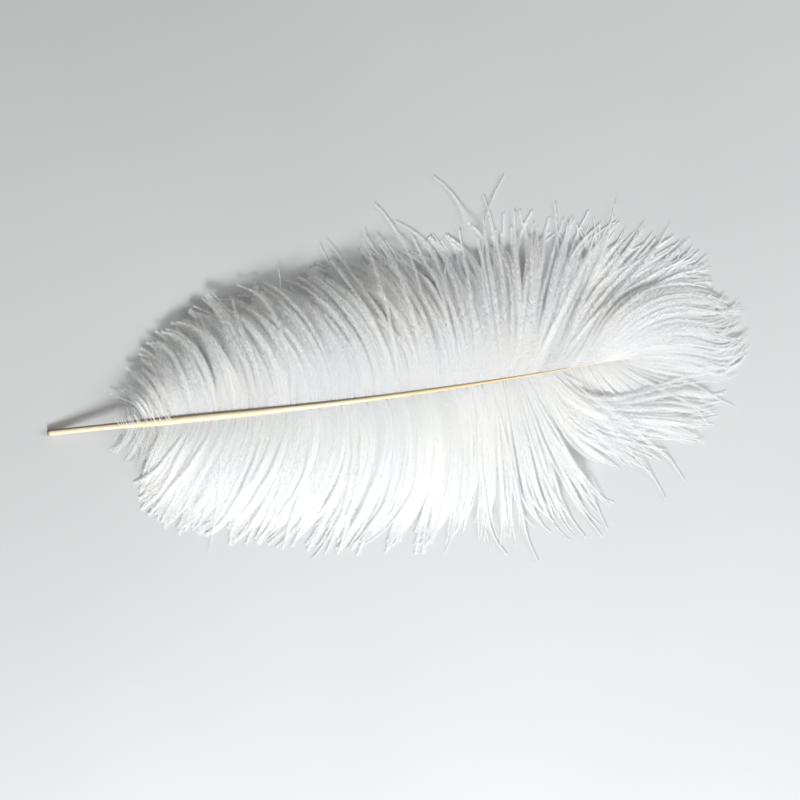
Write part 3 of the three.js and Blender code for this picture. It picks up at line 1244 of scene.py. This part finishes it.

# The stretches of barbs, from the quill round the tip and back. Each row is a Guide: root, headings at the
# root, halfway and at the tip, length, height of the tip, puff, fluff and bare share.
# Some vanes have painted shade: grey at the tips of barbs that lie in the plume's own shadow, and at the
# roots of the right vane's barbs beside the shaft.
VANES = (
    Vane("left_down_barbs", "left_down", Side.LEFT, 14, (
        (56, 100, 116, 128, 16, 9, 2, 0.8),
        (66, 94, 108, 122, 26, 8, 2, 1.0),
        (80, 92, 104, 120, 44, 7, 2, 1.2),
    ), DOWNY, **FINE),
    Vane("left_vane_near_quill", "left_vane", Side.LEFT, 98, (
        (72, 104, 128, 146, 27, 6, 2, 1.4, 0.1),
        (82, 98, 119, 142, 40, 6, 3, 2.1, 0.06),
        (102, 90, 108, 134, 58, 6, 3, 2.8),
        (128, 84, 107, 138, 76, 7, 3, 3.1),
        (152, 82, 112, 144, 88, 7, 3, 3.2),
        (172, 80, 116, 146, 95, 5.5, 4, 3.1),
    ), HIGH, landing=1.0, droop_power=2.1, tip_fluff=0.8, taper=0.45, dull_tip=0.8),
    Vane("left_vane_middle", "left_vane", Side.LEFT, 112, (
        (172, 80, 116, 146, 95, 5.5, 4, 3.1),
        (195, 80, 118, 147, 103, 3.5, 4, 3.0),
        (222, 80, 118, 146, 109, 1.5, 4, 3.0),
        (253, 80, 116, 144, 113, 1, 4, 3.0),
        (280, 80, 111, 134, 110, 1, 3, 3.0),
    ), HIGH, landing=1.0, droop_power=2.5, tip_fluff=0.8, taper=0.45, dull_tip=0.7),
    Vane("left_vane_upper", "left_vane", Side.LEFT, 116, (
        (280, 80, 111, 134, 110, 1, 3, 3.0),
        (300, 80, 104, 121, 111, 1, 3, 3.2),
        (315, 80, 98, 111, 109, 1, 3, 3.3),
        (326, 78, 88, 96, 113, 1, 2, 3.3),
        (336, 72, 76, 84, 119, 1, 2, 3.2),
        (350, 60, 62, 66, 120, 1, 2, 3.0),
    ), UPRIGHT, landing=0.85, droop_power=1.9, barbule_width=0.42, taper=0.55, dull_tip=0.05),
    Vane("left_vane_fan", "left_vane", Side.LEFT, 104, (
        (350, 60, 62, 66, 121, 1, 2, 2.9),
        (356, 56, 54, 48, 122, 1, 2, 2.9),
        (359, 54, 48, 36, 120, 1, 2, 2.9),
        (361, 54, 45, 30, 128, 2, 2, 2.9),
        (367, 50, 39, 22, 124, 1.5, 2, 2.9),
        (371, 50, 38, 22, 118, 1, 2, 2.9),
        (374, 52, 37, 13, 124, 2, 2, 2.9),
        (383, 50, 29, -2, 122, 1.5, 2, 2.9),
    ), TANGLED, landing=0.55, droop_power=1.3, barbule_width=0.42),
    Vane("tip_plume_hood", "tip_plume", Side.LEFT, 44, (
        (383, 50, 29, -2, 116, 1, 2, 2.5),
        (386, 66, 24, -40, 122, 2, 4.5, 2.5),
        (391, 62, 18, -46, 122, 2.5, 6.5, 2.5),
        (397, 54, 10, -50, 118, 2.5, 7, 2.5),
    ), SILKY, landing=0.65, droop_power=1.3, barbule_width=0.4),
    Vane("tip_plume_left", "tip_plume", Side.LEFT, 56, (
        (397, 54, 10, -50, 117, 2.5, 7, 2.4),
        (403, 40, -2, -58, 110, 2.5, 6.5, 2.4),
        (409, 22, -12, -52, 102, 2.5, 5, 2.3),
        (414, -4, -20, -38, 92, 2, 3, 2.3),
    ), replace(SILKY, flick=62, gather=0.5, gather_from=0.5), landing=0.6, dull_tip=0.3),
    Vane("left_vane_strays", "left_vane", Side.LEFT, 12, (
        (76, 116, 146, 154, 36, 4, 3, 1.8),
        (80, 110, 140, 150, 36, 4, 4, 1.8),
        (177, 84, 90, 92, 98, 6, 9, 2.0),
        (234, 84, 104, 118, 116, 2, 5, 1.2),
        (250, 84, 109, 124, 122, 2, 5, 1.2),
        (265, 84, 101, 120, 120, 2, 5, 1.2),
        (278, 84, 99, 128, 142, 1.5, 3, 2.2),
        (293, 84, 97, 148, 132, 1.5, 3, 2.2),
        (320, 84, 95, 132, 157, 1.5, 3, 2.0),
        (325, 90, 88, 46, 150, 1.5, 3, 1.8),
        (331, 84, 88, 104, 132, 1.5, 3, 1.8),
        (346, 66, 70, 98, 126, 1.5, 3, 2.0),
    ), STILL, by_hand=True, landing=0.78, droop_power=1.5, tip_fluff=0.7, taper=0.5,
        root_width=0.8, tip_width=0.5),
    Vane("tip_plume_right", "tip_plume", Side.RIGHT, 56, (
        (414, 10, 16, 8, 88, 1, 4, 2.3),
        (404, 50, 26, 0, 92, 1, 1, 2.2),
        (390, 68, 40, 10, 94, 1, 0, 2.0),
        (366, 76, 52, 28, 86, 1, 0, 1.8),
    ), TANGLED, landing=0.45),
    Vane("tip_plume_lobe", "tip_plume", Side.RIGHT, 88, (
        (368, 80, -6, 44, 124, 4, 2, 2.3),
        (362, 80, 8, 34, 126, 4, 2, 2.3),
        (354, 78, 22, 26, 121, 2, 1.5, 2.3),
        (342, 78, 42, 34, 100, 1, 1.5, 2.3),
    ), NOTCHED, landing=0.45, root_fluff=0.5),
    Vane("right_vane_upper", "right_vane", Side.RIGHT, 88, (
        (359, 80, 46, 40, 84, 1, 1, 2.3),
        (355, 82, 58, 46, 96, 1, 2, 2.3),
        (349, 82, 68, 52, 116, 1, 2, 2.3),
        (338, 86, 80, 64, 122, 1, 2, 2.3),
        (325, 85, 88, 78, 120, 1, 2, 2.3),
        (308, 80, 97, 98, 116, 1, 2, 2.3),
        (289, 76, 102, 118, 114, 1, 2, 2.3),
    ), SWEPT, root_fluff=0.5),
    Vane("right_vane_middle", "right_vane", Side.RIGHT, 106, (
        (289, 76, 102, 118, 114, 1, 2, 2.8),
        (253, 74, 112, 131, 114, 1, 3, 3.0),
        (195, 79, 124, 131, 110, 1, 3, 3.2),
        (184, 82, 126, 131, 108, 1, 3, 3.2),
    ), LOW, tip_fluff=0.8, taper=0.6, root_fluff=0.46, barbule_width=0.38, spread=28,
        dull_root=0.45, dull_tip=0.2),
    Vane("right_vane_near_quill", "right_vane", Side.RIGHT, 106, (
        (184, 82, 126, 131, 108, 1, 3, 3.2),
        (152, 98, 128, 129, 98, 1, 3, 3.4, 0.06),
        (120, 112, 130, 126, 82, 1, 3, 3.4, 0.12),
        (102, 116, 127, 122, 66, 1, 3, 3.0, 0.16),
        (84, 114, 122, 118, 46, 1, 2, 2.6, 0.16),
    ), SOFT, tip_fluff=0.9, root_fluff=0.42, taper=0.5, barbule_width=0.4, spread=26,
        dull_root=0.75, dull_tip=0.2),
    Vane("right_vane_strays", "right_vane", Side.RIGHT, 11, (
        (368, 52, 44, 64, 120, 1.5, 3, 1.1),
        (362, 58, 50, 74, 124, 1.5, 3, 1.1),
        (343, 72, 66, 78, 126, 1.5, 3, 1.4),
        (338, 76, 72, 54, 130, 1.5, 3, 1.6),
        (334, 80, 76, 50, 128, 1.5, 3, 1.6),
        (318, 82, 84, 74, 134, 1.5, 3, 1.6),
        (303, 80, 92, 58, 126, 1.5, 3, 1.8),
        (258, 74, 112, 158, 122, 1.5, 3, 1.6),
        (240, 74, 110, 150, 120, 1.5, 3, 1.4),
        (214, 74, 112, 134, 120, 1.5, 3, 1.4),
        (122, 80, 106, 98, 96, 1.5, 3, 1.4),
    ), STILL, by_hand=True, tip_fluff=0.7, taper=0.5, root_width=0.7, tip_width=0.4),
    Vane("right_vane_at_quill", "right_down", Side.RIGHT, 18, (
        (92, 110, 122, 120, 50, 1, 1, 2.6, 0.14),
        (78, 112, 126, 132, 38, 1, 0, 2.4, 0.14),
        (60, 122, 136, 146, 24, 2, 0, 1.8, 0.2),
    ), SPARSE, "down_white", root_width=0.12, tip_width=0.05, barbule_width=0.2, spacing=0.32,
        taper=0.5),
    Vane("right_down_barbs", "right_down", Side.RIGHT, 44, (
        (92, 92, 108, 124, 54, 1, 1, 1.4),
        (78, 98, 114, 128, 40, 2, 1, 1.2),
        (64, 112, 124, 136, 24, 4, 1, 1.0),
        (54, 124, 134, 144, 14, 7, 1, 0.8),
    ), DOWNY, **FINE),
    Vane("down_over_quill", "right_down", Side.RIGHT, 22, (
        (54, -100, -120, -150, 13, 13, 5, 1.0),
        (72, -96, -118, -150, 18, 17, 5, 1.1),
        (92, -92, -110, -150, 22, 20, 5, 1.2),
    ), DOWNY, **{**FINE, "root_width": 0.2, "barbule_width": 0.16}),
)


def main() -> None:
    """Builds the plume and its studio."""
    logging.basicConfig(level=logging.INFO, format="%(name)s: %(message)s")
    shaft = ShaftLine("shaft")
    studio = Studio()
    studio.camera(shaft)
    studio.floor()
    studio.lights()
    Shaft().build(shaft, ShaftFinish().make())
    tree = BarbTree()
    finishes = {
        "barb_white": BarbFinish().make(),
        "down_white": BarbFinish(name="down_white", lit_through=0.5, faint=0.94).make(),
    }
    total = 0
    for number, vane in enumerate(VANES):
        piece = vane.build(shaft, tree, finishes[vane.slot], SEED + 100 * number)
        total += triangles(piece.data)
    LOG.info("all barbs: %d triangles", total)
    bpy.context.view_layer.update()


if __name__ == "__main__":
    main()
